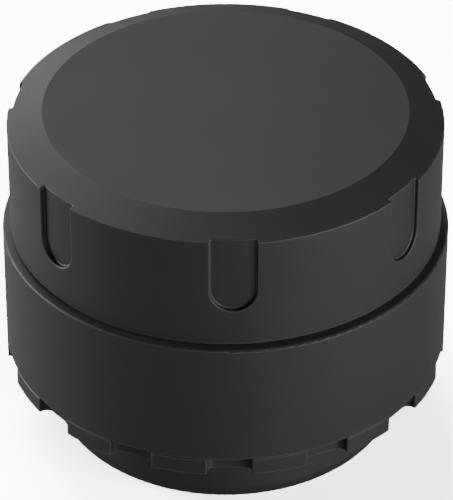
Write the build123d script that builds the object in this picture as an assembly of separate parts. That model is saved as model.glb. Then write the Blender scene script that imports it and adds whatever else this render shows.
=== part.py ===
from build123d import *
from math import cos, hypot, radians, sin
import os

# A tyre pressure sensor that screws onto a wheel valve. Millimetres, +Z up along the valve axis.
# z = 0 is the face of the boss that points at the wheel. Azimuth 0 is -Y and grows towards +X.

# ---- outside ----
body_d = 26.0            # collar and notched flange
boss_step = 2.72         # how far the boss is set in from the flange
boss_h = 4.3
boss_round = 1.26
flange_h = 1.1
collar_h = 7.7
ledge_w = 0.46           # how far the cover is set in from the collar
cover_h = 7.7            # collar's top to the cover's top
bevel_w = 2.04
bevel_h = 0.74
cover_foot_round = 0.30  # rounding of the cover's lower edge
edge_break = 0.12        # small roundings and chamfers on moulded edges
edge_soft = 0.08         # the cover's finer roundings
seam_gap = 0.03          # between the cover's rim and the collar

grip_slots = 7
grip_slot_w = 2.61
grip_slot_depth = 0.27
grip_slot_drop = 5.26    # cover's top to the lowest point of a slot
grip_slot_azimuth = 1.99

key_notches = 14
key_notch_w = 2.56
key_notch_depth = 0.67
key_notch_corner = 0.42
key_notch_azimuth = 0.96

# ---- cover and neck ----
cover_wall = 1.32
cover_roof = 1.5
thread_pitch = 1.6
thread_depth = 0.55
thread_root_w = 0.85
thread_crest_w = 0.45
thread_lead = 0.35       # plain neck below its thread
thread_gap = 0.12        # crest to the facing wall
neck_wall = 1.05
neck_below_roof = 1.7
collar_wall = 1.35
collar_gap = 0.05        # between the collar and the barrel that it is bonded to
seal_d = 0.90            # section of the cover's sealing ring
seal_gap = 0.05

# ---- valve side ----
valve_minor_r = 3.45     # crest radius of the 8V1 inside thread
valve_thread_depth = 0.42
valve_pitch = 0.794      # 32 turns an inch
valve_groove_w = 0.6     # the thread's groove at the crest radius
valve_groove_floor_w = 0.12
valve_thread_len = 4.7
valve_lead_in = 0.55
pocket_r = 3.95          # room above the thread for the valve gasket
pocket_h = 1.4
gasket_h = 0.8
gasket_bore_r = 1.6
insert_r = 5.3
insert_roof = 0.9
insert_foot_h = 0.7      # plain brass at each end, outside the knurled bands
knurl_band_h = 2.3
insert_gap = 0.02
knurl_depth = 0.22
knurls = 40
pin_r = 0.65
pin_head_r = 1.43
pin_gap = 0.02
pin_tip = 0.15           # chamfer on the end that meets the valve core
pin_air_r = 0.4          # air slots in the pin's head
port_seal_gap = 0.05
port_r = 1.0

# ---- electronics ----
floor_h = 0.8            # plastic over the insert
port_seal_r = 2.4
port_seal_bore_r = 1.3
port_seal_h = 1.0
port_seal_sunk = 0.3
lid_w = 5.8
lid_h = 0.6
lid_hole_r = 0.6
package_w = 7.0
package_h = 1.6
package_port_r = 0.9
package_port_h = 0.5
board_h = 0.8
board_gap = 0.15         # board's edge to the neck's bore
board_seat_w = 0.75
board_key_r = 0.6
screw_circle_r = 7.1
screw_r = 0.68
screw_head_r = 1.1
screw_head_h = 0.7
screw_hole_gap = 0.02
screw_room = 0.15
screw_grip = 2.4         # depth of a screw in its post
post_r = 1.3

cell_d = 16.0            # CR1632 coin cell
cell_h = 3.2
cell_skin = 0.25
cell_corner = 0.35       # chamfer on the can's top and, a little less, its foot
cell_cap_in = 1.10       # the negative cap is this much smaller than the can, in radius
cell_crimp_in = 0.65     # and the hole that the can is crimped to
cell_step = 0.15         # the negative cap stands this far below the can's crimp
cell_gap = 0.2           # cell to the cradle's wall
cell_clear = 1.7         # height under the cell for the parts on the board
cradle_gap = 0.3         # cradle to the neck's bore
cradle_rise = 2.40       # cradle's wall above the cell's underside
cradle_lug_h = 0.8
cradle_lug_r = 1.4
cradle_bridge_h = 0.5    # cradle left whole over a contact's gap
ledge_gap = 0.05         # the cell's crimp overlaps the cradle's ledge from this far out
contact_t = 0.15
contact_w = 2.2
negative_contact_w = 2.86
contact_slot_gap = 0.2
contact_gap = 0.02       # a contact to what it bears on
contact_land = 0.5       # flat run of a contact that bears on the can
wire_r = 0.25
antenna_sweep = 280.0
antenna_leg_gap = 0.08
antenna_inset = 0.5      # wire's centre to the cradle's outside

pad_r = 6.4
pad_over_cell = 0.2
pad_under_roof = 0.1
stud_r = 1.0
stud_head_r = 1.5
stud_head_h = 0.6
stud_gap = 0.15

CUT = 1.0                # how far a cutter runs past what it cuts
JOIN = 0.2               # how far a fused solid runs into the one it stands on

# ---- worked out ----
body_r = body_d / 2
boss_r = body_r - boss_step
cover_r = body_r - ledge_w
flange_z = boss_h
collar_z = flange_z + flange_h
ledge_z = collar_z + collar_h
top_z = ledge_z + cover_h
cover_z = ledge_z + seam_gap
roof_z = top_z - cover_roof
cover_bore_r = cover_r - cover_wall
neck_r = cover_bore_r - thread_depth - thread_gap
neck_bore_r = neck_r - neck_wall
neck_z = roof_z - neck_below_roof
barrel_r = body_r - collar_wall - collar_gap
seal_z = ledge_z - seal_d
thread_z = ledge_z + thread_root_w / 2 + thread_lead
thread_turns = (neck_z - thread_root_w - thread_z) / thread_pitch

pocket_z = valve_thread_len
insert_roof_z = pocket_z + pocket_h
insert_h = insert_roof_z + insert_roof
floor_z = insert_h + floor_h
port_seal_z = floor_z - port_seal_sunk
lid_z = port_seal_z + port_seal_h
package_z = lid_z + lid_h
board_z = package_z + package_h
board_top_z = board_z + board_h
board_r = neck_bore_r - board_gap
cell_r = cell_d / 2
cell_cap_r = cell_r - cell_cap_in
cell_crimp_r = cell_r - cell_crimp_in
cell_z = board_top_z + cell_clear
crimp_z = cell_z + cell_step
cell_top_z = cell_z + cell_h
cradle_r = neck_bore_r - cradle_gap
cradle_bore_r = cell_r + cell_gap
cradle_top_z = cell_z + cradle_rise
cradle_ledge_r = cell_crimp_r + ledge_gap
antenna_r = cradle_r - antenna_inset
chips_y = (negative_contact_w / 2 + cradle_ledge_r) / 2  # middle of the free board beside the contact
pad_z = cell_top_z + pad_over_cell
pad_top_z = roof_z - pad_under_roof

UP = (Align.CENTER, Align.CENTER, Align.MIN)
SCREW_AZIMUTHS = (30.0, 150.0, 270.0)
CONTACT_AZIMUTHS = (90.0, 210.0)


def disc(r, z0, z1):
    """A round plate or post on the valve axis."""
    return Pos(0, 0, z0) * Cylinder(r, z1 - z0, align=UP)


def ring(r_in, r_out, z0, z1):
    """A plain ring on the valve axis."""
    return disc(r_out, z0, z1) - disc(r_in, z0 - CUT, z1 + CUT)


def turned(*points):
    """A solid turned about the valve axis from (radius, z) points."""
    return revolve(make_face(Plane.XZ * Polyline(*points, close=True)), Axis.Z)


def at(azimuth, radius=0.0, z=0.0):
    """A place at an azimuth and radius, with its local -Y pointing outwards."""
    return Rot(0, 0, azimuth) * Pos(0, -radius, z)


def rims(body, r):
    """The round edges of one radius on a body, lowest first."""
    round_edges = body.edges().filter_by(GeomType.CIRCLE)
    return round_edges.filter_by(lambda edge: abs(edge.radius - r) < 0.01).sort_by(Axis.Z)


def on_radius(edge, r):
    """Is the middle of an edge this far from the valve axis?"""
    middle = edge @ 0.5
    return abs(hypot(middle.X, middle.Y) - r) < 0.02


def block(length, width, height, corner=0.0):
    """A flat rectangular body standing on z = 0, with rounded upright edges."""
    body = Box(length, width, height, align=UP)
    return fillet(body.edges().filter_by(Axis.Z), corner) if corner else body


def helix_ridge(r_root, r_crest, w_root, w_crest, pitch, turns, z0, sunk=JOIN):
    """A screw ridge whose flanks run on past its root, into the wall that carries it."""
    way = 1 if r_crest > r_root else -1
    slope = (w_root - w_crest) / 2 / abs(r_crest - r_root)
    w_sunk = w_root / 2 + slope * sunk
    r_sunk = r_root - way * sunk
    section = Plane.XZ * Polygon(
        (r_sunk, -w_sunk),
        (r_crest, -w_crest / 2),
        (r_crest, w_crest / 2),
        (r_sunk, w_sunk),
        align=None,
    )
    path = Helix(pitch, pitch * turns, r_root)
    return Pos(0, 0, z0) * sweep(section, path=path, is_frenet=True)


def bent_strip(points, width, bends):
    """Sheet metal bent along (x, z) points and centred on y = 0."""
    line = Plane.XZ * FilletPolyline(*points, radius=bends)
    start = Plane(origin=line @ 0, x_dir=(0, 1, 0), z_dir=line % 0)
    return sweep(start * Rectangle(width, contact_t), path=line)


# ---- housing ----
def sensor_base():
    """Boss, notched flange, barrel and threaded neck, moulded in one."""
    boss = disc(boss_r, 0, boss_h)
    boss = fillet(boss.edges().sort_by(Axis.Z)[0], boss_round)
    flange = disc(body_r, flange_z, collar_z)
    notch = block(key_notch_w, 2 * key_notch_depth, flange_h + 2 * CUT, key_notch_corner)
    for i in range(key_notches):
        flange -= at(key_notch_azimuth + i * 360 / key_notches, body_r, flange_z - CUT) * notch
    corners = flange.edges().filter_by(Axis.Z).filter_by(lambda edge: on_radius(edge, body_r))
    flange = fillet(corners, edge_soft)
    flange = chamfer(flange.faces().filter_by(Axis.Z).edges(), edge_soft)
    body = boss + flange + disc(barrel_r, collar_z - JOIN, seal_z)
    body += disc(neck_r, seal_z - JOIN, neck_z)
    body -= disc(board_r - board_seat_w, floor_z, neck_z + CUT)
    body -= disc(neck_bore_r, board_z, neck_z + CUT)
    for azimuth in SCREW_AZIMUTHS:
        place = at(azimuth, screw_circle_r)
        body += place * disc(post_r, floor_z - JOIN, board_z)
        body -= place * disc(screw_r + screw_hole_gap, board_z - screw_grip, board_z + CUT)
    key = at(180, board_r) * disc(board_key_r - board_gap, board_z - JOIN, board_top_z)
    body += key & disc(neck_bore_r + JOIN, board_z - JOIN, board_top_z)
    body -= disc(insert_r + insert_gap, -CUT, insert_h)
    body -= disc(port_r, 0, floor_z + CUT)
    body -= disc(port_seal_r + port_seal_gap, port_seal_z, floor_z + CUT)
    rim = body.edges().filter_by(GeomType.CIRCLE).group_by(Axis.Z)[-1]
    body = chamfer(rim, edge_break)
    return body + helix_ridge(
        neck_r, neck_r + thread_depth, thread_root_w, thread_crest_w, thread_pitch, thread_turns, thread_z
    )


def collar():
    """The sleeve round the barrel, bonded on above the notched flange."""
    sleeve = ring(barrel_r + collar_gap, body_r, collar_z, ledge_z)
    sleeve = fillet(rims(sleeve, body_r)[-1], edge_break)
    return chamfer(rims(sleeve, body_r)[0], edge_break / 2)


def grip_cutter():
    """One grip slot: upright, round at its foot, open at the top, with its floor on a cylinder."""
    foot_z = top_z - grip_slot_drop + grip_slot_w / 2
    shape = Pos(0, 0, foot_z) * Box(grip_slot_w, grip_slot_w, cover_h, align=UP)
    foot = Pos(0, 0, foot_z) * Rot(90, 0, 0) * Cylinder(grip_slot_w / 2, grip_slot_w)
    return at(grip_slot_azimuth, cover_r) * (shape + foot)


def on_cover_skin(edge):
    """Is this an edge of the cover's bevel or of a grip slot's rim or floor?"""
    middle = edge @ 0.5
    r = hypot(middle.X, middle.Y)
    crown = middle.Z > top_z - bevel_h - 0.01 and r > cover_bore_r - bevel_w
    slot = min((edge @ 0).Z, (edge @ 1).Z) > top_z - grip_slot_drop
    rim_or_floor = min(abs(r - cover_r), abs(r - cover_r + grip_slot_depth)) < 0.02
    return crown or (slot and rim_or_floor)


def top_cover():
    """Screw-on cover: bevelled cap with grip slots, an inside thread and the stud that holds the pad."""
    shell = turned(
        (0, top_z),
        (cover_r - bevel_w, top_z),
        (cover_r, top_z - bevel_h),
        (cover_r, cover_z),
        (cover_bore_r + edge_break, cover_z),
        (cover_bore_r, cover_z + edge_break),
        (cover_bore_r, roof_z),
        (0, roof_z),
    )
    shell = fillet(rims(shell, cover_r)[0], cover_foot_round)
    band = ring(cover_r - grip_slot_depth, cover_r + 2 * CUT, cover_z, top_z + CUT)
    for i in range(grip_slots):
        shell -= (Rot(0, 0, i * 360 / grip_slots) * grip_cutter()) & band
    shell = fillet(shell.edges().filter_by(on_cover_skin), edge_soft)
    shell += disc(stud_r, stud_foot_z(), roof_z + JOIN)
    shell += disc(stud_head_r, stud_foot_z(), stud_foot_z() + stud_head_h)
    return shell + helix_ridge(
        cover_bore_r,
        cover_bore_r - thread_depth,
        thread_root_w,
        thread_crest_w,
        thread_pitch,
        thread_turns,
        thread_z + thread_pitch / 2,
    )


def pad_depth():
    """How thick the pad's web round the stud is."""
    return (pad_top_z - pad_z) / 2


def stud_foot_z():
    """The underside of the stud's head."""
    return pad_top_z - pad_depth() - stud_gap - stud_head_h


def cell_pad():
    """Soft disc between the cover and the cell, free to turn on the cover's stud."""
    pad = disc(pad_r, pad_z, pad_top_z)
    pad = fillet(pad.edges().filter_by(GeomType.CIRCLE), edge_break * 2)
    pad -= disc(stud_r + stud_gap, pad_z - CUT, pad_top_z + CUT)
    return pad - disc(stud_head_r + stud_gap, pad_z - CUT, pad_top_z - pad_depth())


def cover_seal():
    """Round-section ring at the foot of the neck."""
    radius = seal_d / 2
    return Pos(0, 0, seal_z + radius) * Torus(neck_r + seal_gap + radius, radius)


# ---- valve side ----
def valve_insert():
    """Brass insert with the valve's thread, knurled where the plastic grips it."""
    points = []
    for i in range(knurls):
        for half, r in ((0, insert_r), (0.5, insert_r - knurl_depth)):
            turn = radians((i + half) * 360 / knurls)
            points.append((r * cos(turn), r * sin(turn)))
    star = make_face(Polyline(*points, close=True))
    waist_r = insert_r - 2 * knurl_depth
    body = disc(waist_r, 0, insert_h)
    body += disc(insert_r - knurl_depth, 0, insert_foot_h)
    for z in (insert_foot_h, insert_h - insert_foot_h - knurl_band_h):
        body += Pos(0, 0, z) * extrude(star, knurl_band_h)
    body -= disc(valve_minor_r, -CUT, pocket_z + JOIN)
    body -= disc(pocket_r, pocket_z, insert_roof_z)
    body -= disc(pin_head_r + pin_gap, 0, insert_h + CUT)
    body -= turned(
        (0, -CUT),
        (valve_minor_r + valve_lead_in + CUT, -CUT),
        (valve_minor_r, valve_lead_in),
        (0, valve_lead_in),
    )
    return body - helix_ridge(
        valve_minor_r,
        valve_minor_r + valve_thread_depth,
        valve_groove_w,
        valve_groove_floor_w,
        valve_pitch,
        (valve_thread_len + valve_pitch / 4) / valve_pitch,
        -valve_pitch / 2,
        valve_thread_depth / 4,
    )


def valve_gasket():
    """Flat rubber ring that seals on the end of the valve stem."""
    z0 = insert_roof_z - gasket_h
    gasket = ring(gasket_bore_r, pocket_r - 0.05, z0, insert_roof_z)
    return chamfer(gasket.edges().group_by(Axis.Z)[0], 0.1)


def valve_pin():
    """Pin that pushes the valve core open, with three air slots in its head."""
    pin = disc(pin_r, pocket_z + 0.05, insert_h - 0.1)
    pin = chamfer(pin.edges().sort_by(Axis.Z)[0], pin_tip)
    head = disc(pin_head_r, insert_roof_z, insert_h)
    for i in range(3):
        head -= at(i * 120 + 60, pin_head_r) * disc(pin_air_r, 0, insert_h + CUT)
    return pin + head


def port_seal():
    """Soft ring between the floor and the sensor's lid, round the pressure port."""
    seal = ring(port_seal_bore_r, port_seal_r, port_seal_z, lid_z)
    return fillet(seal.edges().filter_by(GeomType.CIRCLE), 0.2)


# ---- electronics ----
def sensor_lid():
    """Metal lid of the pressure sensor, with its port."""
    lid = Pos(0, 0, lid_z) * block(lid_w, lid_w, lid_h, 0.5)
    return lid - disc(lid_hole_r, lid_z - CUT, package_z + CUT)


def sensor_package():
    """Moulded body of the pressure sensor under the board."""
    package = Pos(0, 0, package_z) * block(package_w, package_w, package_h, 0.2)
    return package - disc(package_port_r, package_z - CUT, package_z + package_port_h)


def circuit_board():
    """Round two-sided board on the seat in the base."""
    board = disc(board_r, board_z, board_top_z)
    board -= at(180, board_r) * disc(board_key_r, board_z - CUT, board_top_z + CUT)
    for azimuth in SCREW_AZIMUTHS:
        board -= at(azimuth, screw_circle_r) * disc(screw_r + screw_room, board_z - CUT, board_top_z + CUT)
    for azimuth in antenna_ends():
        board -= at(azimuth, antenna_r) * disc(wire_r + antenna_leg_gap, board_z - CUT, board_top_z + CUT)
    return board


def antenna_ends():
    """The azimuths of the antenna's two legs."""
    return 180 - antenna_sweep / 2, 180 + antenna_sweep / 2


def battery_cradle():
    """Ring that centres the cell above the board."""
    cradle = ring(cradle_bore_r, cradle_r, board_top_z, cradle_top_z)
    cradle += ring(cradle_ledge_r, cradle_bore_r + JOIN, board_top_z, crimp_z)
    for azimuth in SCREW_AZIMUTHS:
        lug = disc(cradle_lug_r, board_top_z, board_top_z + cradle_lug_h)
        room = disc(screw_head_r + screw_room, board_top_z + cradle_lug_h, cradle_top_z + CUT)
        hole = disc(screw_r + screw_room, board_top_z - CUT, cradle_top_z + CUT)
        place = at(azimuth, screw_circle_r)
        cradle = cradle + place * lug - place * room - place * hole
    for azimuth in CONTACT_AZIMUTHS:
        depth = cradle_r - cradle_ledge_r + CUT
        height = cradle_top_z - board_top_z - cradle_bridge_h
        gap = Box(contact_w + 2 * contact_slot_gap, depth, height, align=UP)
        cradle -= at(azimuth, (cradle_r + cradle_ledge_r) / 2, board_top_z) * gap
    for azimuth in antenna_ends():
        cradle -= at(azimuth, antenna_r) * disc(wire_r + antenna_leg_gap, board_top_z - CUT, cradle_top_z + CUT)
    return cradle


def cell_can():
    """Positive can of the coin cell, closed at the top and crimped in below."""
    return turned(
        (0, cell_top_z),
        (cell_r - cell_corner, cell_top_z),
        (cell_r, cell_top_z - cell_corner),
        (cell_r, crimp_z + cell_corner - 0.05),
        (cell_r - cell_corner + 0.05, crimp_z),
        (cell_crimp_r, crimp_z),
        (cell_crimp_r, crimp_z + cell_skin),
        (cell_r - cell_skin, crimp_z + cell_skin + 0.2),
        (cell_r - cell_skin, cell_top_z - cell_corner - 0.1),
        (cell_r - cell_corner - 0.1, cell_top_z - cell_skin),
        (0, cell_top_z - cell_skin),
    )


def cell_cap():
    """Negative cap of the coin cell, facing the board."""
    skin = cell_skin * 0.8
    flange_r = cell_cap_r + 0.35
    return turned(
        (0, cell_z),
        (cell_cap_r - 0.3, cell_z),
        (cell_cap_r, cell_z + 0.3),
        (cell_cap_r, crimp_z + 0.75),
        (flange_r, crimp_z + 0.75),
        (flange_r, crimp_z + 0.75 + skin),
        (cell_cap_r - skin, crimp_z + 0.75 + skin),
        (cell_cap_r - skin, cell_z + 0.3 + skin),
        (cell_cap_r - 0.3 - skin, cell_z + skin),
        (0, cell_z + skin),
    )


def cell_gasket():
    """Insulating ring between the cell's can and cap."""
    return turned(
        (cell_cap_r + 0.02, crimp_z),
        (cell_crimp_r - 0.02, crimp_z),
        (cell_crimp_r - 0.02, crimp_z + cell_skin + 0.05),
        (cell_r - cell_skin - 0.1, crimp_z + cell_skin + 0.25),
        (cell_r - cell_skin - 0.1, crimp_z + 1.3),
        (cell_cap_r + 0.37, crimp_z + 1.3),
        (cell_cap_r + 0.37, crimp_z + 0.73),
        (cell_cap_r + 0.02, crimp_z + 0.73),
    )


def cell_pellet():
    """Lithium and cathode discs inside the cell, as one filling."""
    return disc(cell_cap_r - 0.4, crimp_z + 0.5, cell_top_z - cell_skin - 0.05)


def negative_contact():
    """Leaf spring on the board that bears on the cell's cap."""
    low = board_top_z + contact_t / 2
    high = cell_z - contact_t / 2 - contact_gap
    points = ((-4.6, low), (-2.6, low), (1.6, high), (3.4, low + 0.5))
    return bent_strip(points, negative_contact_w, 0.5)


def positive_contacts():
    """Two upright springs that bear on the side of the can."""
    low = board_top_z + contact_t / 2
    touch = cell_r + contact_t / 2 + contact_gap
    back = cradle_r - contact_t
    land_z = cell_z + cradle_rise / 2 - contact_land
    points = (
        (touch - 1.4, low),
        (back, low),
        (back, cell_z + 0.1),
        (touch, land_z),
        (touch, land_z + contact_land),
        (back - 0.2, cradle_top_z - 0.75),
    )
    strip = bent_strip(points, contact_w, 0.25)
    return Compound(children=[Rot(0, 0, azimuth - 90) * strip for azimuth in CONTACT_AZIMUTHS])


def antenna_loop():
    """Wire loop on the cradle's rim, with a leg down to the board at each end."""
    z = cradle_top_z + wire_r + contact_gap
    start, end = antenna_ends()
    loop = Rot(0, 0, start - 90) * Torus(antenna_r, wire_r, major_angle=antenna_sweep)
    wire = Pos(0, 0, z) * loop
    for azimuth in (start, end):
        place = at(azimuth, antenna_r)
        wire += place * (Pos(0, 0, z) * Sphere(wire_r * 1.1))
        wire += place * disc(wire_r, board_z + board_h / 8, z)
    return wire


def crystal_can():
    """Metal-lidded crystal of the radio."""
    place = Pos(-0.4, -chips_y - 0.2, board_top_z)
    return place * (block(3.2, 2.5, 0.45, 0.2) + Pos(0, 0, 0.4) * block(2.8, 2.1, 0.4, 0.3))


def rf_inductor():
    """Wound chip inductor of the antenna's matching network."""
    core = block(2.0, 1.25, 0.3, 0.1) + Pos(0, 0, 0.9) * block(2.0, 1.25, 0.3, 0.1)
    winding = Pos(0, 0, 0.6) * Rot(0, 90, 0) * Cylinder(0.42, 1.4)
    ends = Pos(0.85, 0, 0) * block(0.3, 1.25, 1.2) + Pos(-0.85, 0, 0) * block(0.3, 1.25, 1.2)
    return Pos(chips_y - 1, 0.75 - chips_y, board_top_z) * (core + winding + ends)


def chips(places, length, width, height):
    """Identical chip parts on the board, each at (x, y, turn)."""
    body = block(length, width, height, width * 0.08)
    return Compound(children=[Pos(x, y, board_top_z) * Rot(0, 0, turn) * body for x, y, turn in places])


def chip_capacitors():
    """Ceramic capacitors."""
    row_y = chips_y - 1
    places = [(-3.2 + 1.3 * i, row_y, 90) for i in range(4)] + [(2.6, row_y + 0.7, 0), (-row_y, -row_y, 45)]
    return chips(places, 1.6, 0.8, 0.8)


def chip_resistors():
    """Chip resistors."""
    return chips([(-2.0 + 1.1 * i, chips_y + 1, 90) for i in range(4)], 1.0, 0.5, 0.35)


def board_screws():
    """Pan-head screws that hold the cradle and the board to the base."""
    seat = board_top_z + cradle_lug_h
    head = disc(screw_head_r, seat, seat + screw_head_h)
    head = fillet(head.edges().sort_by(Axis.Z)[-1], 0.25)
    for turn in (0, 90):
        head -= Rot(0, 0, turn) * Pos(0, 0, seat + screw_head_h - 0.35) * Box(1.3, 0.3, 1, align=UP)
    shank = disc(screw_r, board_z - screw_grip + 0.2, seat + 0.1)
    shank = chamfer(shank.edges().sort_by(Axis.Z)[0], 0.3)
    screw = head + shank
    return Compound(children=[at(azimuth, screw_circle_r) * screw for azimuth in SCREW_AZIMUTHS])


PARTS = (
    top_cover,
    cell_pad,
    cover_seal,
    collar,
    sensor_base,
    valve_insert,
    valve_gasket,
    valve_pin,
    port_seal,
    sensor_lid,
    sensor_package,
    circuit_board,
    battery_cradle,
    cell_can,
    cell_cap,
    cell_gasket,
    cell_pellet,
    negative_contact,
    positive_contacts,
    antenna_loop,
    crystal_can,
    rf_inductor,
    chip_capacitors,
    chip_resistors,
    board_screws,
)

os.makedirs("parts", exist_ok=True)
for make in PARTS:
    export_step(make(), f"parts/{make.__name__}.step")
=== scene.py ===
from math import cos, pi, radians, sin

import bpy
import numpy as np
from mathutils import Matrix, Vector


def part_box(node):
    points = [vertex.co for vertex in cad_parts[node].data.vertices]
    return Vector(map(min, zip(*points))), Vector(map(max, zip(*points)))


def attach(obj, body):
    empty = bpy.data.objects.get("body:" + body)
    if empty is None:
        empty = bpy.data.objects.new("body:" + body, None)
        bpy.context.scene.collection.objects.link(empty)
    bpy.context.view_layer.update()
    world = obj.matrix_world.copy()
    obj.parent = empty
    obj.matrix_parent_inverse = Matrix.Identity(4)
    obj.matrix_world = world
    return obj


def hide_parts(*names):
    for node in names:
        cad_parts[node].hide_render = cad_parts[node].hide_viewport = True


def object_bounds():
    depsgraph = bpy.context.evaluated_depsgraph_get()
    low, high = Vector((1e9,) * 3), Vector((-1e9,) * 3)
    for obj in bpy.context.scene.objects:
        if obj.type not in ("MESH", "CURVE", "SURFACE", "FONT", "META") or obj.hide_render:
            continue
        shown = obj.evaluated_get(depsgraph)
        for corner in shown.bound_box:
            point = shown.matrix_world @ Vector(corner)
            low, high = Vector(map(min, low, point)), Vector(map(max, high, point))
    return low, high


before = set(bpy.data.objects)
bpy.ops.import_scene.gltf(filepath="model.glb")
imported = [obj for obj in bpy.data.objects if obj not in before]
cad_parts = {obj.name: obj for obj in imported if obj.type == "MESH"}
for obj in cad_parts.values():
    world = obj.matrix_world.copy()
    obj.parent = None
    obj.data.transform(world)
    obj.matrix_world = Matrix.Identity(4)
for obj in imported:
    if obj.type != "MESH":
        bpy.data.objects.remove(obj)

cad_box = [list(corner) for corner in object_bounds()]

MM = 0.001
FLOAT, VECTOR = "NodeSocketFloat", "NodeSocketVector"
MATERIAL, GEOMETRY = "NodeSocketMaterial", "NodeSocketGeometry"

# places of a Mix node's sockets, where several have one name
MIX_FACTOR, MIX_NUMBERS, MIX_COLOURS, MIX_COLOUR_OUT = 0, (2, 3), (6, 7), 2


def link(thing):
    bpy.context.scene.collection.objects.link(thing)
    return thing


class Tree:
    """Adds nodes to a node tree and links them by socket name."""

    def __init__(self, tree):
        self.tree = tree

    def add(self, kind, **settings):
        """A new node. A setting is one of the node's properties or, failing that, an input's name."""
        node = self.tree.nodes.new(kind)
        for name, value in settings.items():
            if hasattr(node, name):
                setattr(node, name, value)
            else:
                self.put(node, name.replace("_", " "), value)
        return node

    def put(self, node, name, value):
        """Sets an input to a value, or links another node's output to it."""
        socket = node.inputs[name]
        if isinstance(value, bpy.types.NodeSocket):
            self.tree.links.new(value, socket)
        else:
            socket.default_value = value

    def math(self, operation, a, b=0.0, clamp=False):
        node = self.add("ShaderNodeMath", operation=operation, use_clamp=clamp)
        self.put(node, 0, a)
        self.put(node, 1, b)
        return node.outputs[0]

    def join_xyz(self, x, y, z):
        return self.add("ShaderNodeCombineXYZ", X=x, Y=y, Z=z).outputs[0]

    def noise(self, where, size, detail=3.0, roughness=0.6):
        """Cloudy noise from 0 to 1, with lumps of a size."""
        node = self.add("ShaderNodeTexNoise", Vector=where, Detail=detail, Roughness=roughness)
        self.put(node, "Scale", self.math("DIVIDE", 1.0, size))
        return node.outputs["Fac"]

    def mix(self, factor, a, b):
        """A colour between two, each an output or an (r, g, b) triple."""
        node = self.add("ShaderNodeMix", data_type="RGBA")
        self.put(node, MIX_FACTOR, factor)
        for slot, colour in zip(MIX_COLOURS, (a, b)):
            self.put(node, slot, colour if isinstance(colour, bpy.types.NodeSocket) else (*colour, 1))
        return node.outputs[MIX_COLOUR_OUT]

    def switch(self, factor, a, b):
        """The number a where the factor is 0, and b where it is 1."""
        node = self.add("ShaderNodeMix", data_type="FLOAT")
        self.put(node, MIX_FACTOR, factor)
        for slot, number in zip(MIX_NUMBERS, (a, b)):
            self.put(node, slot, number)
        return node.outputs[0]

    def spread(self, value, low, high, start=0.0, end=1.0):
        """Takes the range start to end onto the range low to high."""
        node = self.add("ShaderNodeMapRange", Value=value)
        names = ("From Min", "From Max", "To Min", "To Max")
        for name, number in zip(names, (start, end, low, high)):
            self.put(node, name, number)
        return node.outputs[0]


# ---- effects that several materials use ----
def new_effect(name, inputs, outputs):
    """An empty shader group with named sockets, as (group, its Tree, its inputs, its output node)."""
    group = bpy.data.node_groups.new(name, "ShaderNodeTree")
    for socket, kind, value in inputs:
        made = group.interface.new_socket(socket, in_out="INPUT", socket_type=kind)
        if value is not None:
            made.default_value = value
    for socket in outputs:
        group.interface.new_socket(socket, in_out="OUTPUT", socket_type=FLOAT)
    tree = Tree(group)
    return group, tree, tree.add("NodeGroupInput").outputs, tree.add("NodeGroupOutput")


def mould_grain():
    """The fine etched skin of a moulding tool, and soft blotches of a few millimetres."""
    group, tree, given, out = new_effect(
        "mould_grain",
        (("Vector", VECTOR, None), ("Grain Size", FLOAT, 0.08 * MM), ("Blotch Size", FLOAT, 4 * MM)),
        ("Height", "Blotch"),
    )
    pits_per_grain, pit_depth = 0.7, 0.5
    fine = tree.noise(given["Vector"], given["Grain Size"])
    pits = tree.add("ShaderNodeTexVoronoi", Vector=given["Vector"])
    tree.put(pits, "Scale", tree.math("DIVIDE", pits_per_grain, given["Grain Size"]))
    pitted = tree.math("MULTIPLY", pits.outputs["Distance"], pit_depth)
    tree.put(out, "Height", tree.math("ADD", fine, pitted))
    tree.put(out, "Blotch", tree.noise(given["Vector"], given["Blotch Size"], 4.0, 0.55))
    return group


def edge_wear_and_highlight():
    """1 along outside edges, where handling has rubbed them and a highlight is painted on them, broken
    up by noise.
    """
    group, tree, given, out = new_effect(
        "edge_wear_and_highlight",
        (("Vector", VECTOR, None), ("Width", FLOAT, 0.1 * MM), ("Amount", FLOAT, 1.0)),
        ("Mask",),
    )
    sharpness, breakup_size, least_breakup, most_breakup = 8.0, 1.2 * MM, 0.55, 1.15
    rounded = tree.add("ShaderNodeBevel", samples=4, Radius=given["Width"])
    flat = tree.add("ShaderNodeNewGeometry")
    dot = tree.add("ShaderNodeVectorMath", operation="DOT_PRODUCT")
    tree.put(dot, 0, rounded.outputs["Normal"])
    tree.put(dot, 1, flat.outputs["Normal"])
    bend = tree.math("SUBTRACT", 1.0, dot.outputs["Value"])
    bend = tree.math("MULTIPLY", bend, sharpness, clamp=True)
    breakup = tree.spread(tree.noise(given["Vector"], breakup_size, 4.0), least_breakup, most_breakup)
    worn_and_highlit = tree.math("MULTIPLY", bend, breakup)
    tree.put(out, "Mask", tree.math("MULTIPLY", worn_and_highlit, given["Amount"], clamp=True))
    return group


def lathe_rings():
    """Fine rings left by a cutting tool round the valve axis, with streaks that fade in and out."""
    group, tree, given, out = new_effect(
        "lathe_rings",
        (("Vector", VECTOR, None), ("Ring Width", FLOAT, 0.06 * MM)),
        ("Height", "Streak"),
    )
    streak_width = 6.0
    flat = tree.add("ShaderNodeVectorMath", operation="MULTIPLY")
    tree.put(flat, 0, given["Vector"])
    tree.put(flat, 1, (1, 1, 0))
    length = tree.add("ShaderNodeVectorMath", operation="LENGTH")
    tree.put(length, 0, flat.outputs[0])
    height = tree.add("ShaderNodeSeparateXYZ", Vector=given["Vector"]).outputs["Z"]
    across = tree.join_xyz(length.outputs["Value"], height, 0.0)
    tree.put(out, "Height", tree.noise(across, given["Ring Width"], 2.0))
    wide = tree.math("MULTIPLY", given["Ring Width"], streak_width)
    tree.put(out, "Streak", tree.noise(across, wide, 2.0))
    return group


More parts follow.
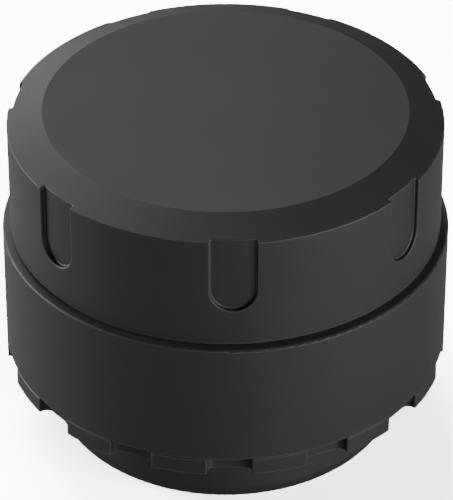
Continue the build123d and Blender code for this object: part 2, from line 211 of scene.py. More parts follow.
def tarnish():
    """Cloudy dulling of a metal, with a few darker spots."""
    group, tree, given, out = new_effect(
        "tarnish",
        (("Vector", VECTOR, None), ("Cloud Size", FLOAT, 2 * MM)),
        ("Cloud", "Spot"),
    )
    spot_share, spot_starts, spot_full = 0.2, 0.66, 0.8
    tree.put(out, "Cloud", tree.noise(given["Vector"], given["Cloud Size"], 5.0))
    small = tree.noise(given["Vector"], tree.math("MULTIPLY", given["Cloud Size"], spot_share))
    tree.put(out, "Spot", tree.spread(small, 0.0, 1.0, spot_starts, spot_full))
    return group


def painted_seam_light():
    """1 at the height of a seam, fading away above and below it: a band of painted light that lightens
    the shaded seam.
    """
    group, tree, given, out = new_effect(
        "painted_seam_light",
        (
            ("Vector", VECTOR, None),
            ("Height", FLOAT, 0.0),
            ("Reach", FLOAT, 0.24 * MM),
            ("Amount", FLOAT, 1.0),
        ),
        ("Mask",),
    )
    patch_size, least_seam_light, most_seam_light = 1.0 * MM, 0.8, 1.2
    height = tree.add("ShaderNodeSeparateXYZ", Vector=given["Vector"]).outputs["Z"]
    away = tree.math("ABSOLUTE", tree.math("SUBTRACT", height, given["Height"]))
    near = tree.math("SUBTRACT", 1.0, tree.math("DIVIDE", away, given["Reach"]), clamp=True)
    patchy = tree.spread(tree.noise(given["Vector"], patch_size), least_seam_light, most_seam_light)
    lit_band = tree.math("MULTIPLY", near, patchy)
    tree.put(out, "Mask", tree.math("MULTIPLY", lit_band, given["Amount"], clamp=True))
    return group


MOULD_GRAIN = mould_grain()
EDGE_WEAR_AND_HIGHLIGHT = edge_wear_and_highlight()
PAINTED_SEAM_LIGHT = painted_seam_light()
LATHE_RINGS = lathe_rings()
TARNISH = tarnish()

# just above the collar's rim, where the cover meets it; the painted seam light is centred here
SEAM_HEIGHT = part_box("collar")[1].z + 0.12 * MM


# ---- materials ----
def new_material(name):
    """An empty material, as (material, its Tree, its Principled shader, object coordinates)."""
    material = bpy.data.materials.new(name)
    material.use_nodes = True
    tree = Tree(material.node_tree)
    where = tree.add("ShaderNodeTexCoord").outputs["Object"]
    return material, tree, material.node_tree.nodes["Principled BSDF"], where


def effect(tree, group, where, **values):
    return tree.add("ShaderNodeGroup", node_tree=group, Vector=where, **values).outputs


def bump(tree, shader, height, distance):
    node = tree.add("ShaderNodeBump", Height=height, Distance=distance)
    tree.put(shader, "Normal", node.outputs["Normal"])


def moulded_plastic(name, dark, light, worn_and_highlight, rough, grain, depth, wear_and_highlight=1.0, seam_light=0.0):
    """Moulded plastic: two close shades in blotches, edges lightened as rubbed wear and as a painted
    highlight, and an etched skin.

    A band of painted light lightens the shaded seam between the cover and the collar, and the collar's
    rim.
    """
    material, tree, shader, where = new_material(name)
    skin = effect(tree, MOULD_GRAIN, where, Grain_Size=grain)
    edge = effect(tree, EDGE_WEAR_AND_HIGHLIGHT, where, Amount=wear_and_highlight)["Mask"]
    shade = tree.mix(skin["Blotch"], dark, light)
    # painted light: a lighter band where the cover meets the collar stands in for light reaching that
    # shaded seam
    if seam_light:
        seam = effect(tree, PAINTED_SEAM_LIGHT, where, Height=SEAM_HEIGHT, Amount=seam_light)["Mask"]
        shade = tree.mix(seam, shade, SEAM_LIGHT_COLOUR)
    # painted highlight: edges lightened towards the edge colour, part rubbed wear and part painted
    # highlight
    tree.put(shader, "Base Color", tree.mix(edge, shade, worn_and_highlight))
    uneven, polish = 0.05, 0.12
    dull = tree.spread(skin["Blotch"], rough - uneven, rough + uneven)
    tree.put(shader, "Roughness", tree.math("SUBTRACT", dull, tree.math("MULTIPLY", edge, polish)))
    bump(tree, shader, skin["Height"], depth)
    return material


def rubber(name, dark, light, rough, grain=0.12 * MM):
    """Rubber or silicone: matt, with a powdery bloom in patches."""
    material, tree, shader, where = new_material(name)
    skin = effect(tree, MOULD_GRAIN, where, Grain_Size=grain, Blotch_Size=1.5 * MM)
    bloom_starts, bloom_full, powdery, grain_depth = 0.35, 0.75, 0.15, 0.004 * MM
    bloom = tree.spread(skin["Blotch"], 0.0, 1.0, bloom_starts, bloom_full)
    tree.put(shader, "Base Color", tree.mix(bloom, dark, light))
    tree.put(shader, "Roughness", tree.spread(bloom, rough, rough + powdery))
    shader.inputs["Sheen Weight"].default_value = 0.15
    bump(tree, shader, skin["Height"], grain_depth)
    return material


def turned_metal(name, clean, dull, rough, ring=0.06 * MM, depth=0.002 * MM):
    """Metal turned or pressed round the valve axis, slightly tarnished and bright at its edges."""
    material, tree, shader, where = new_material(name)
    rings = effect(tree, LATHE_RINGS, where, Ring_Width=ring)
    cloud = effect(tree, TARNISH, where)
    edge = effect(tree, EDGE_WEAR_AND_HIGHLIGHT, where, Width=0.06 * MM)["Mask"]
    spot_share, edge_share, polish, dulling = 0.5, 1.15, 0.06, 0.1
    spot = tuple(level * spot_share for level in dull)
    bright = tuple(min(1, level * edge_share) for level in clean)
    stained = tree.mix(cloud["Spot"], tree.mix(cloud["Cloud"], clean, dull), spot)
    tree.put(shader, "Base Color", tree.mix(edge, stained, bright))
    tree.put(shader, "Roughness", tree.spread(rings["Streak"], rough - polish, rough + dulling))
    shader.inputs["Metallic"].default_value = 1
    bump(tree, shader, rings["Height"], depth)
    return material


def plated_metal(name, clean, dull, rough, scratch_w=0.02 * MM, scratch_length=0.6 * MM):
    """Sheet or cast metal with straight fine scratches along X."""
    material, tree, shader, where = new_material(name)
    polish, dulling, scratch_depth = 0.08, 0.12, 0.001 * MM
    stretch = tree.add("ShaderNodeMapping")
    tree.put(stretch, "Vector", where)
    tree.put(stretch, "Scale", (scratch_w / scratch_length, 1, 1))
    lines = tree.noise(stretch.outputs[0], scratch_w)
    cloud = effect(tree, TARNISH, where, Cloud_Size=1 * MM)
    tree.put(shader, "Base Color", tree.mix(cloud["Cloud"], clean, dull))
    tree.put(shader, "Roughness", tree.spread(lines, rough - polish, rough + dulling))
    shader.inputs["Metallic"].default_value = 1
    bump(tree, shader, lines, scratch_depth)
    return material


def circuit_lacquer():
    """Green solder lacquer over copper tracks that run along X or Y by patches."""
    material, tree, shader, where = new_material("board_lacquer")
    axes = tree.add("ShaderNodeSeparateXYZ", Vector=where).outputs
    flat = tree.join_xyz(axes["X"], axes["Y"], 0.0)
    patch_size, pitch, track_share, track_rise = 3.2 * MM, 0.62 * MM, 0.36, 0.02 * MM
    turned_patches, empty_patches = 0.5, 0.35
    patch = tree.add("ShaderNodeTexVoronoi", Vector=flat, distance="MANHATTAN", Scale=1 / patch_size)
    chance = tree.add("ShaderNodeSeparateXYZ", Vector=patch.outputs["Color"]).outputs
    tracks = []
    for axis in ("X", "Y"):
        saw = tree.math("FRACT", tree.math("DIVIDE", axes[axis], pitch))
        tracks.append(tree.math("LESS_THAN", saw, track_share))
    turned = tree.math("GREATER_THAN", chance["X"], turned_patches)
    laid = tree.math("GREATER_THAN", chance["Y"], empty_patches)
    track = tree.math("MULTIPLY", tree.switch(turned, *tracks), laid)
    haze = tree.noise(where, 2.5 * MM, 4.0)
    green = tree.mix(haze, DEEP_LACQUER, LACQUER)
    tree.put(shader, "Base Color", tree.mix(track, green, LACQUER_ON_COPPER))
    tree.put(shader, "Roughness", tree.spread(haze, 0.26, 0.42))
    shader.inputs["Coat Weight"].default_value = 0.4
    bump(tree, shader, track, track_rise)
    return material


BLACK_NYLON = (0.011, 0.011, 0.011), (0.016, 0.016, 0.016)
# the lighter edge colour is part rubbed wear and part painted highlight; the seam colour is painted
# light in the shaded seam between cover and collar
WORN_AND_HIGHLIGHT, SEAM_LIGHT_COLOUR = (0.100, 0.100, 0.100), (0.060, 0.060, 0.060)
DEEP_LACQUER, LACQUER = (0.010, 0.075, 0.030), (0.016, 0.100, 0.040)
LACQUER_ON_COPPER = (0.035, 0.190, 0.065)
STEEL, GREY_STEEL = (0.62, 0.61, 0.59), (0.45, 0.44, 0.43)
TIN, DULL_TIN = (0.72, 0.71, 0.69), (0.50, 0.49, 0.47)
COPPER, DULL_COPPER = (0.80, 0.36, 0.18), (0.48, 0.20, 0.10)

finish = {
    # the cover and the collar take painted light in the seam where they meet
    "cover": moulded_plastic(
        "cover_nylon", *BLACK_NYLON, WORN_AND_HIGHLIGHT, 0.58, 0.07 * MM, 0.0012 * MM, seam_light=1.0
    ),
    "collar": moulded_plastic(
        "collar_nylon", *BLACK_NYLON, WORN_AND_HIGHLIGHT, 0.58, 0.07 * MM, 0.0012 * MM, seam_light=1.0
    ),
    "base": moulded_plastic("base_nylon", *BLACK_NYLON, WORN_AND_HIGHLIGHT, 0.60, 0.08 * MM, 0.0015 * MM),
    "seal": rubber("seal_rubber", (0.016, 0.016, 0.017), (0.034, 0.034, 0.036), 0.62),
    "gasket": rubber("gasket_rubber", (0.020, 0.019, 0.018), (0.040, 0.038, 0.036), 0.70),
    "port_seal": rubber("port_silicone", (0.52, 0.50, 0.46), (0.62, 0.60, 0.56), 0.45),
    "pad": rubber("pad_silicone", (0.36, 0.37, 0.38), (0.46, 0.47, 0.48), 0.60, 0.2 * MM),
    "brass": turned_metal("brass", (0.78, 0.56, 0.24), (0.60, 0.40, 0.16), 0.30),
    "pin": turned_metal("pin_steel", STEEL, GREY_STEEL, 0.32, 0.04 * MM),
    "lid": plated_metal("lid_steel", STEEL, GREY_STEEL, 0.34),
    "package": moulded_plastic(
        "package_epoxy", (0.018, 0.018, 0.019), (0.026, 0.026, 0.027), WORN_AND_HIGHLIGHT,
        0.62, 0.05 * MM, 0.004 * MM, 0.5,
    ),
    "board": circuit_lacquer(),
    "cradle": moulded_plastic(
        "cradle_nylon", (0.42, 0.40, 0.34), (0.50, 0.48, 0.42), (0.60, 0.58, 0.52),
        0.50, 0.09 * MM, 0.002 * MM, 0.4,
    ),
    "cell": turned_metal("cell_steel", (0.66, 0.65, 0.63), (0.52, 0.51, 0.50), 0.26, 0.05 * MM),
    "cell_ring": moulded_plastic(
        "cell_polymer", (0.10, 0.10, 0.11), (0.13, 0.13, 0.14), (0.2, 0.2, 0.2),
        0.45, 0.08 * MM, 0.001 * MM, 0.3,
    ),
    "filling": rubber("cell_filling", (0.030, 0.030, 0.032), (0.070, 0.070, 0.074), 0.70, 0.06 * MM),
    "contact": plated_metal("contact_nickel", (0.68, 0.66, 0.62), (0.54, 0.52, 0.49), 0.28),
    "copper": turned_metal("antenna_copper", COPPER, DULL_COPPER, 0.30, 0.1 * MM),
    "crystal": plated_metal("crystal_lid", (0.74, 0.70, 0.58), (0.58, 0.54, 0.44), 0.24),
    "ferrite": moulded_plastic(
        "ferrite", (0.045, 0.042, 0.040), (0.065, 0.060, 0.056), (0.09, 0.085, 0.08),
        0.66, 0.04 * MM, 0.006 * MM, 0.4,
    ),
    "ceramic": moulded_plastic(
        "chip_ceramic", (0.36, 0.25, 0.15), (0.44, 0.31, 0.19), (0.50, 0.38, 0.26),
        0.48, 0.05 * MM, 0.003 * MM, 0.3,
    ),
    "resistor": moulded_plastic(
        "resistor_glaze", (0.020, 0.020, 0.022), (0.028, 0.028, 0.030), (0.30, 0.29, 0.27),
        0.34, 0.06 * MM, 0.002 * MM, 0.3,
    ),
    "tin": plated_metal("tinned_end", TIN, DULL_TIN, 0.30),
    "solder": plated_metal("solder", (0.66, 0.66, 0.67), (0.48, 0.48, 0.50), 0.22, 0.1 * MM, 0.2 * MM),
    "screw": plated_metal("screw_zinc", STEEL, GREY_STEEL, 0.32),
}

CAD_FINISH = {
    "top_cover": "cover",
    "collar": "collar",
    "sensor_base": "base",
    "cover_seal": "seal",
    "valve_gasket": "gasket",
    "port_seal": "port_seal",
    "cell_pad": "pad",
    "valve_insert": "brass",
    "valve_pin": "pin",
    "sensor_lid": "lid",
    "sensor_package": "package",
    "circuit_board": "board",
    "battery_cradle": "cradle",
    "cell_can": "cell",
    "cell_cap": "cell",
    "cell_gasket": "cell_ring",
    "cell_pellet": "filling",
    "negative_contact": "contact",
    "positive_contacts": "contact",
    "antenna_loop": "copper",
    "crystal_can": "crystal",
}
for node, kind in CAD_FINISH.items():
    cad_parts[node].data.materials.clear()
    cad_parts[node].data.materials.append(finish[kind])


# ---- pieces that a geometry tree grows ----
BODY, ENDS, SOLDER = 0, 1, 2


def stored(tree, name):
    """A number that is stored on the geometry under a name."""
    node = tree.add("GeometryNodeInputNamedAttribute", data_type="FLOAT", Name=name)
    return node.outputs["Attribute"]


def new_tree(name, **inputs):
    """An empty geometry tree with named inputs, as (its Tree, its inputs, a function that ends it)."""
    group = bpy.data.node_groups.new(name, "GeometryNodeTree")
    group.interface.new_socket("Geometry", in_out="INPUT", socket_type=GEOMETRY)
    for socket, value in inputs.items():
        kind = MATERIAL if isinstance(value, bpy.types.Material) else FLOAT
        group.interface.new_socket(socket, in_out="INPUT", socket_type=kind).default_value = value
    group.interface.new_socket("Geometry", in_out="OUTPUT", socket_type=GEOMETRY)
    tree = Tree(group)
    given = tree.add("NodeGroupInput").outputs

    def end(instances, materials):
        """Realizes the instances, and gives each face the material that its kind is the index of."""
        geometry = tree.add("GeometryNodeRealizeInstances", Geometry=instances).outputs[0]
        mark = stored(tree, "kind")
        for index, material in enumerate(materials):
            paint = tree.add("GeometryNodeSetMaterial", Geometry=geometry, Material=material)
            if index:
                tree.put(paint, "Selection", tree.math("COMPARE", mark, index))
            geometry = paint.outputs[0]
        tree.put(tree.add("NodeGroupOutput"), "Geometry", geometry)
        return group

    return tree, given, end


def marked(tree, mesh, kind):
    """A mesh whose faces say which material they take."""
    node = tree.add("GeometryNodeStoreNamedAttribute", data_type="FLOAT", domain="FACE", Name="kind")
    tree.put(node, "Geometry", mesh)
    tree.put(node, "Value", float(kind))
    return node.outputs[0]


def moved(tree, mesh, place=(0, 0, 0), turn=(0, 0, 0), scale=(1, 1, 1)):
    node = tree.add("GeometryNodeTransform", Geometry=mesh)
    for name, value in (("Translation", place), ("Rotation", turn), ("Scale", scale)):
        tree.put(node, name, value)
    return node.outputs[0]


def joined(tree, meshes):
    node = tree.add("GeometryNodeJoinGeometry")
    for mesh in meshes:
        tree.tree.links.new(mesh, node.inputs[0])
    return node.outputs[0]


def at_points(tree, given, mesh):
    """The mesh at every point of the base geometry, turned by the point's turn."""
    node = tree.add("GeometryNodeInstanceOnPoints", Points=given["Geometry"], Instance=mesh)
    tree.put(node, "Rotation", tree.join_xyz(0.0, 0.0, stored(tree, "turn")))
    return node.outputs[0]


def cube(tree, length, width, height):
    return tree.add("GeometryNodeMeshCube", Size=tree.join_xyz(length, width, height)).outputs["Mesh"]


def soldered_ends(tree, given, drop_shares):
    """Square ends on a part that lies along X, each with a drop of solder at its foot.

    A drop's half size is a share of the end's length, width and height.
    """
    length, end_length = given["Length"], given["End"]
    end_size = (end_length, given["Width"], given["Height"])
    half_height = tree.math("MULTIPLY", given["Height"], 0.5)
    drop_size = tree.join_xyz(*(tree.math("MULTIPLY", *pair) for pair in zip(end_size, drop_shares)))
    shapes = []
    for side in (-0.5, 0.5):
        middle = tree.math("MULTIPLY", tree.math("SUBTRACT", length, end_length), side)
        block = marked(tree, cube(tree, *end_size), ENDS)
        shapes.append(moved(tree, block, tree.join_xyz(middle, 0.0, half_height)))
        drop = tree.add("GeometryNodeMeshUVSphere", Segments=16, Rings=8, Radius=1.0).outputs["Mesh"]
        face = tree.join_xyz(tree.math("MULTIPLY", length, side), 0.0, 0.0)
        shapes.append(moved(tree, marked(tree, drop, SOLDER), face, scale=drop_size))
    return shapes


def chip_tree():
    """A chip part at every point: a body between two tinned ends, with solder at their feet."""
    tree, given, end = new_tree(
        "chip_part",
        Length=1.0,
        Width=1.0,
        Height=1.0,
        End=1.0,
        Body=finish["ceramic"],
        Tin=finish["tin"],
        Solder=finish["solder"],
    )
    slim = 0.94  # the body's width and height, as shares of its ends'
    body = cube(
        tree,
        tree.math("SUBTRACT", given["Length"], given["End"]),
        tree.math("MULTIPLY", given["Width"], slim),
        tree.math("MULTIPLY", given["Height"], slim),
    )
    middle = tree.join_xyz(0.0, 0.0, tree.math("MULTIPLY", given["Height"], 0.5))
    shapes = [moved(tree, marked(tree, body, BODY), middle)]
    shapes += soldered_ends(tree, given, drop_shares=(0.8, 0.56, 0.5))
    chip = at_points(tree, given, joined(tree, shapes))
    return end(chip, [given["Body"], given["Tin"], given["Solder"]])


def screw_tree():
    """A pan-head screw at every point, with a cross in its head and a thread on its shank."""
    tree, given, end = new_tree(
        "pan_screw",
        Head=1.0,
        HeadHeight=1.0,
        Shank=1.0,
        Length=1.0,
        Pitch=1.0,
        Cross=1.0,
        Metal=finish["screw"],
    )
    head_r, head_h, shank_r, length, pitch, cross = (
        given[name] for name in ("Head", "HeadHeight", "Shank", "Length", "Pitch", "Cross")
    )
    crown_share, slot_share, slot_lift = 0.72, 0.23, 0.95
    core_share, tip_share, point_share = 0.74, 0.8, 0.4

    def up(distance, share=1.0):
        return tree.join_xyz(0.0, 0.0, tree.math("MULTIPLY", distance, share))

    pan = tree.add("GeometryNodeMeshCone", Vertices=48, Radius_Bottom=head_r, Depth=head_h)
    tree.put(pan, "Radius Top", tree.math("MULTIPLY", head_r, crown_share))
    recess = tree.add("GeometryNodeMeshBoolean", operation="DIFFERENCE", solver="EXACT")
    tree.put(recess, "Mesh 1", pan.outputs["Mesh"])
    slot_w = tree.math("MULTIPLY", cross, slot_share)
    for turn in (0, pi / 2):
        bar = moved(tree, cube(tree, cross, slot_w, head_h), up(head_h, slot_lift), (0, 0, turn))
        tree.tree.links.new(bar, recess.inputs["Mesh 2"])

    core_r = tree.math("MULTIPLY", shank_r, core_share)
    tip = tree.math("MULTIPLY", shank_r, tip_share)
    core_length = tree.math("SUBTRACT", length, tip)
    core = tree.add("GeometryNodeMeshCylinder", Vertices=32, Radius=core_r, Depth=core_length)
    core = moved(tree, core.outputs["Mesh"], up(core_length, -0.5))
    point = tree.add("GeometryNodeMeshCone", Vertices=32, Radius_Top=core_r, Depth=tip)
    tree.put(point, "Radius Bottom", tree.math("MULTIPLY", core_r, point_share))
    nose = moved(tree, point.outputs["Mesh"], up(length, -1.0))

    ridge = tree.add("GeometryNodeCurveSpiral", Resolution=24, Start_Radius=core_r, End_Radius=core_r)
    run = tree.math("SUBTRACT", core_length, pitch)
    tree.put(ridge, "Rotations", tree.math("DIVIDE", run, pitch))
    tree.put(ridge, "Height", run)
    section = tree.add("GeometryNodeCurvePrimitiveCircle", Resolution=6)
    tree.put(section, "Radius", tree.math("SUBTRACT", shank_r, core_r))
    thread = tree.add("GeometryNodeCurveToMesh", Curve=ridge.outputs[0], Fill_Caps=True)
    tree.put(thread, "Profile Curve", section.outputs["Curve"])
    thread = moved(tree, thread.outputs[0], up(core_length, -1.0))
    screw = joined(tree, [recess.outputs["Mesh"], core, nose, thread])
    return end(at_points(tree, given, screw), [given["Metal"]])


def waisted_core_tree():
    """A round core between two square ends at every point, with solder at the ends' feet."""
    tree, given, end = new_tree(
        "waisted_core",
        Length=1.0,
        Width=1.0,
        Height=1.0,
        End=1.0,
        Ferrite=finish["ferrite"],
        Solder=finish["solder"],
    )
    core_share, core_scale = 0.3, (0.9, 0.9, 0.9)
    core_r = tree.math("MULTIPLY", given["Width"], core_share)
    core = tree.add("GeometryNodeMeshCylinder", Vertices=32, Radius=core_r, Depth=given["Length"])
    middle = tree.join_xyz(0.0, 0.0, tree.math("MULTIPLY", given["Height"], 0.5))
    body = marked(tree, core.outputs["Mesh"], BODY)
    shapes = [moved(tree, body, middle, (0, pi / 2, 0), core_scale)]
    shapes += soldered_ends(tree, given, drop_shares=(1.0, 0.4, 0.28))
    core_and_ends = at_points(tree, given, joined(tree, shapes))
    return end(core_and_ends, [given["Ferrite"], given["Ferrite"], given["Solder"]])


def winding_tree():
    """A wire wound along X at every point."""
    tree, given, end = new_tree(
        "wire_winding",
        Radius=1.0,
        Wire=1.0,
        Span=1.0,
        Turns=1.0,
        Rise=1.0,
        Metal=finish["copper"],
    )
    coil = tree.add("GeometryNodeCurveSpiral", Resolution=20, Height=given["Span"])
    for name, value in (("Start Radius", "Radius"), ("End Radius", "Radius"), ("Rotations", "Turns")):
        tree.put(coil, name, given[value])
    section = tree.add("GeometryNodeCurvePrimitiveCircle", Resolution=8)
    tree.put(section, "Radius", given["Wire"])
    wire = tree.add("GeometryNodeCurveToMesh", Curve=coil.outputs[0], Fill_Caps=True)
    tree.put(wire, "Profile Curve", section.outputs["Curve"])
    start = tree.join_xyz(tree.math("MULTIPLY", given["Span"], -0.5), 0.0, given["Rise"])
    lying = moved(tree, wire.outputs[0], start, (0, pi / 2, 0))
    return end(at_points(tree, given, lying), [given["Metal"]])


def via_tree():
    """Plated holes scattered over a disc, none nearer to another than a spacing."""
    tree, given, end = new_tree("plated_holes", Spacing=1.0, Hole=1.0, Rim=1.0, Metal=finish["tin"])
    try_spacing, rim_flatness, scatter_seed = 0.5 * MM, 0.5, 7
    scatter = tree.add("GeometryNodeDistributePointsOnFaces", distribute_method="POISSON")
    tree.put(scatter, "Mesh", given["Geometry"])
    tree.put(scatter, "Distance Min", given["Spacing"])
    tree.put(scatter, "Density Max", 1 / try_spacing**2)
    tree.put(scatter, "Seed", scatter_seed)
    loop = tree.add("GeometryNodeCurvePrimitiveCircle", Resolution=20)
    tree.put(loop, "Radius", given["Hole"])
    section = tree.add("GeometryNodeCurvePrimitiveCircle", Resolution=6)
    tree.put(section, "Radius", given["Rim"])
    ring = tree.add("GeometryNodeCurveToMesh", Curve=loop.outputs["Curve"])
    tree.put(ring, "Profile Curve", section.outputs["Curve"])
    low = moved(tree, ring.outputs[0], scale=(1, 1, rim_flatness))
    rings = tree.add("GeometryNodeInstanceOnPoints", Points=scatter.outputs["Points"], Instance=low)
    return end(rings.outputs[0], [given["Metal"]])


def grow(name, base, group, body, values, rounding=0.0, stands_for=()):
    """Runs a geometry tree on a base mesh and keeps the result as a piece that rides a body."""
    piece = link(bpy.data.objects.new(name, base))
    modifier = piece.modifiers.new("grow", "NODES")
    modifier.node_group = group
    for item in group.interface.items_tree:
        if item.in_out == "INPUT" and item.name in values:
            modifier[item.identifier] = values[item.name]
    bpy.context.view_layer.update()
    grown = bpy.data.meshes.new_from_object(piece.evaluated_get(bpy.context.evaluated_depsgraph_get()))
    grown.name = name
    piece.modifiers.clear()
    piece.data = grown
    if rounding:
        bevel = piece.modifiers.new("rounding", "BEVEL")
        bevel.width = rounding
        bevel.segments = 2
    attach(piece, body)
    if stands_for:
        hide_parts(*stands_for)


def points_mesh(name, places):
    """A mesh of bare points, each (place, turn)."""
    mesh = bpy.data.meshes.new(name)
    mesh.from_pydata([place for place, _ in places], [], [])
    turns = mesh.attributes.new("turn", "FLOAT", "POINT")
    turns.data.foreach_set("value", [turn for _, turn in places])
    return mesh


def separate_solids(node):
    """The corner clouds of a CAD node's separate solids, left to right."""
    same_place = 1e-3 * MM
    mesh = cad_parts[node].data
    points = np.array([vertex.co for vertex in mesh.vertices])
    keys = [tuple(key) for key in np.round(points / same_place).astype(int)]
    group = {key: key for key in keys}

    def root(key):
        while group[key] != key:
            key = group[key]
        return key

    for face in mesh.polygons:
        first = root(keys[face.vertices[0]])
        for corner in face.vertices[1:]:
            group[root(keys[corner])] = first
    clouds = {}
    for key, point in zip(keys, points):
        clouds.setdefault(root(key), []).append(point)
    clouds = [np.array(cloud) for cloud in clouds.values()]
    return sorted(clouds, key=lambda cloud: tuple(cloud.mean(0).round(6)))


def lying_box(cloud):
    """(foot, turn, length, width, height) of a block that lies along X, Y or a diagonal."""
    best, no_better = None, 1e-12
    for turn in (0, pi / 2, pi / 4, -pi / 4):
        along = cloud[:, 0] * cos(turn) + cloud[:, 1] * sin(turn)
        across = cloud[:, 1] * cos(turn) - cloud[:, 0] * sin(turn)
        length, width = np.ptp(along), np.ptp(across)
        if length >= width and (best is None or length * width < best[2] * best[3] - no_better):
            mid_along, mid_across = along.min() + length / 2, across.min() + width / 2
            foot = (
                mid_along * cos(turn) - mid_across * sin(turn),
                mid_along * sin(turn) + mid_across * cos(turn),
                cloud[:, 2].min(),
            )
            best = (foot, turn, length, width, np.ptp(cloud[:, 2]))
    return best


def add_chips(name, node, kind, end_share):
    """Chip parts on the board, where the CAD blocks are."""
    blocks = [lying_box(cloud) for cloud in separate_solids(node)]
    _, _, length, width, height = blocks[0]
    values = {
        "Length": length,
        "Width": width,
        "Height": height,
        "End": length * end_share,
        "Body": finish[kind],
    }
    base = points_mesh(name, [(foot, turn) for foot, turn, *_ in blocks])
    grow(name, base, CHIPS, "base", values, rounding=0.03 * MM, stands_for=(node,))


def add_screws():
    """The board screws, with their heads where the CAD screws have them."""
    rim_depth, below_head, tip_gap = 0.01 * MM, 0.5 * MM, 0.2 * MM
    first_turn = 0.4
    clouds = separate_solids("board_screws")
    first = clouds[0]
    middle = (first.min(0) + first.max(0)) / 2
    radius = np.hypot(*(first[:, :2] - middle[:2]).T)
    head_r = radius.max()
    seat = first[radius > head_r - rim_depth][:, 2].min()
    values = {
        "Head": head_r,
        "HeadHeight": first[:, 2].max() - seat,
        "Shank": radius[first[:, 2] < seat - below_head].max(),
        "Length": seat - first[:, 2].min() - tip_gap,
        "Pitch": 0.45 * MM,
        "Cross": 1.3 * MM,
    }
    places = []
    for cloud in clouds:
        x, y, _ = (cloud.min(0) + cloud.max(0)) / 2
        places.append(((x, y, seat), first_turn + len(places)))
    base = points_mesh("pan_screws", places)
    grow(
        "pan_screws", base, screw_tree(), "base", values,
        rounding=0.06 * MM, stands_for=("board_screws",),
    )


def add_inductor():
    """The wound inductor: a ferrite core with solder at its ends, and its copper winding."""
    coil_share = 0.34  # the winding's radius as a share of the core's width
    foot, turn, length, width, height = lying_box(separate_solids("rf_inductor")[0])
    core = {
        "Length": length,
        "Width": width,
        "Height": height,
        "End": 0.3 * MM,
    }
    winding = {
        "Radius": width * coil_share,
        "Wire": 0.045 * MM,
        "Span": length - 0.8 * MM,
        "Turns": 9.0,
        "Rise": height / 2,
    }
    base = points_mesh("inductor_core", [(foot, turn)])
    grow(
        "inductor_core", base, waisted_core_tree(), "base", core,
        rounding=0.03 * MM, stands_for=("rf_inductor",),
    )
    base = points_mesh("inductor_winding", [(foot, turn)])
    grow("inductor_winding", base, winding_tree(), "base", winding)


def disc_mesh(name, radius, height, corners):
    """A flat disc round the valve axis."""
    angles = [2 * pi * i / corners for i in range(corners)]
    rim = [(radius * cos(angle), radius * sin(angle), height) for angle in angles]
    mesh = bpy.data.meshes.new(name)
    mesh.from_pydata(rim, [], [tuple(range(corners))])
    return mesh


def add_vias():
    """Plated holes over the board, inside the cradle."""
    clear_of_cradle = 0.6 * MM
    low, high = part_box("cell_cap")
    radius = (high.x - low.x) / 2 - clear_of_cradle
    base = disc_mesh("plated_holes", radius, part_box("circuit_board")[1].z, corners=48)
    values = {"Spacing": 1.3 * MM, "Hole": 0.16 * MM, "Rim": 0.05 * MM}
    grow("plated_holes", base, via_tree(), "base", values)


CHIPS = chip_tree()
add_chips("capacitors", "chip_capacitors", "ceramic", end_share=0.24)
add_chips("resistors", "chip_resistors", "resistor", end_share=0.26)
add_screws()
add_inductor()
add_vias()


# ---- camera, floor and light ----
SENSOR_WIDTH, LENS = 36, 262.07  # in millimetres, as a camera takes them
NEAREST, FARTHEST = 1 * MM, 5
CAMERA_BACK, CAMERA_ABOVE_TOP = 174.27 * MM, 113.65 * MM
CAMERA_PITCH, CAMERA_YAW = radians(35.357), radians(0.017)

FLOOR_R, FLOOR_CORNERS = 330 * MM, 96
FLOOR_IN_REFLECTIONS, FLOOR_SEEN = 0.5, 14.0
WORLD_LIGHT, BACKDROP = 0.05, 8.0

# name, azimuth, elevation, distance in mm, (width, height) in mm, power in W
SOFTBOXES = (
    ("left_wall", -106, 8, 400, (220, 110), 1.90),
    ("left_rear_wall", -155, 8, 420, (120, 100), 0.35),
    ("front_right_wall", 38, 8, 400, (140, 110), 0.85),
    ("right_wall", 62, 8, 400, (140, 110), 1.10),
    ("back_overhead", -155, 50, 420, (260, 160), 1.00),
    ("back_right", 130, 20, 450, (200, 120), 0.03),
)


def aim(thing, place, target):
    thing.location = place
    thing.rotation_euler = (Vector(target) - Vector(place)).to_track_quat("-Z", "Y").to_euler()


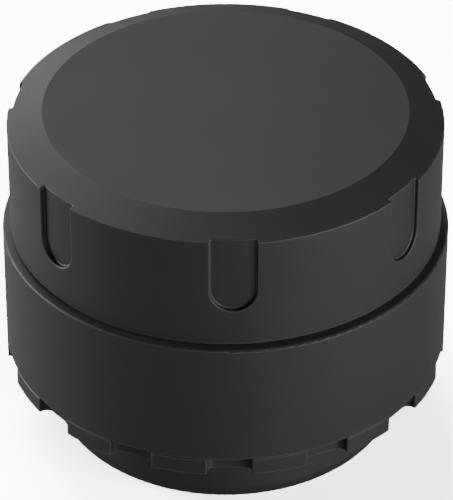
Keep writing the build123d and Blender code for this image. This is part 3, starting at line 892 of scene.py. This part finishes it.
def add_camera():
    """A long lens in front of the object, looking down at it."""
    camera = bpy.data.cameras.new("camera")
    camera.sensor_width = SENSOR_WIDTH
    camera.lens = LENS
    camera.clip_start, camera.clip_end = NEAREST, FARTHEST
    holder = link(bpy.data.objects.new("camera", camera))
    place = Vector((0, -CAMERA_BACK, cad_box[1][2] + CAMERA_ABOVE_TOP))
    view = Vector((
        sin(CAMERA_YAW) * cos(CAMERA_PITCH),
        cos(CAMERA_YAW) * cos(CAMERA_PITCH),
        -sin(CAMERA_PITCH),
    ))
    aim(holder, place, place + view)
    bpy.context.scene.camera = holder


def add_floor():
    """A pale round floor, nearly white to the camera and dimmer in the object's own reflections."""
    mesh = disc_mesh("floor", FLOOR_R, 0, FLOOR_CORNERS)
    material = bpy.data.materials.new("floor")
    material.use_nodes = True
    nodes = material.node_tree.nodes
    nodes.remove(nodes["Principled BSDF"])
    tree = Tree(material.node_tree)
    shader = tree.add("ShaderNodeMixShader")
    tree.put(shader, 0, tree.add("ShaderNodeLightPath").outputs["Is Camera Ray"])
    for slot, level in ((1, FLOOR_IN_REFLECTIONS), (2, FLOOR_SEEN)):
        pale = tree.add("ShaderNodeBsdfDiffuse", Color=(level, level, level, 1))
        tree.put(shader, slot, pale.outputs[0])
    tree.put(nodes["Material Output"], "Surface", shader.outputs[0])
    mesh.materials.append(material)
    link(bpy.data.objects.new("floor", mesh))


def add_softbox(name, azimuth, elevation, distance, size, power):
    """A softbox round the object. Azimuth 0 is on the camera's side, and 90 is to its right."""
    light = bpy.data.lights.new(name, "AREA")
    light.shape = "RECTANGLE"
    light.size, light.size_y = (side * MM for side in size)
    light.energy = power
    box = link(bpy.data.objects.new(name, light))
    box.visible_camera = False
    turn, rise = radians(azimuth), radians(elevation)
    way = Vector((sin(turn) * cos(rise), -cos(turn) * cos(rise), sin(rise)))
    middle = (Vector(cad_box[0]) + Vector(cad_box[1])) / 2
    aim(box, middle + way * distance * MM, middle)


def add_world():
    """Even dim light from everywhere, behind a pale backdrop."""
    world = bpy.data.worlds.new("studio")
    world.use_nodes = True
    tree = Tree(world.node_tree)
    seen = tree.add("ShaderNodeLightPath").outputs["Is Camera Ray"]
    background = world.node_tree.nodes["Background"]
    tree.put(background, "Color", (1, 1, 1, 1))
    tree.put(background, "Strength", tree.spread(seen, WORLD_LIGHT, BACKDROP))
    bpy.context.scene.world = world


add_camera()
add_floor()
add_world()
for softbox in SOFTBOXES:
    add_softbox(*softbox)
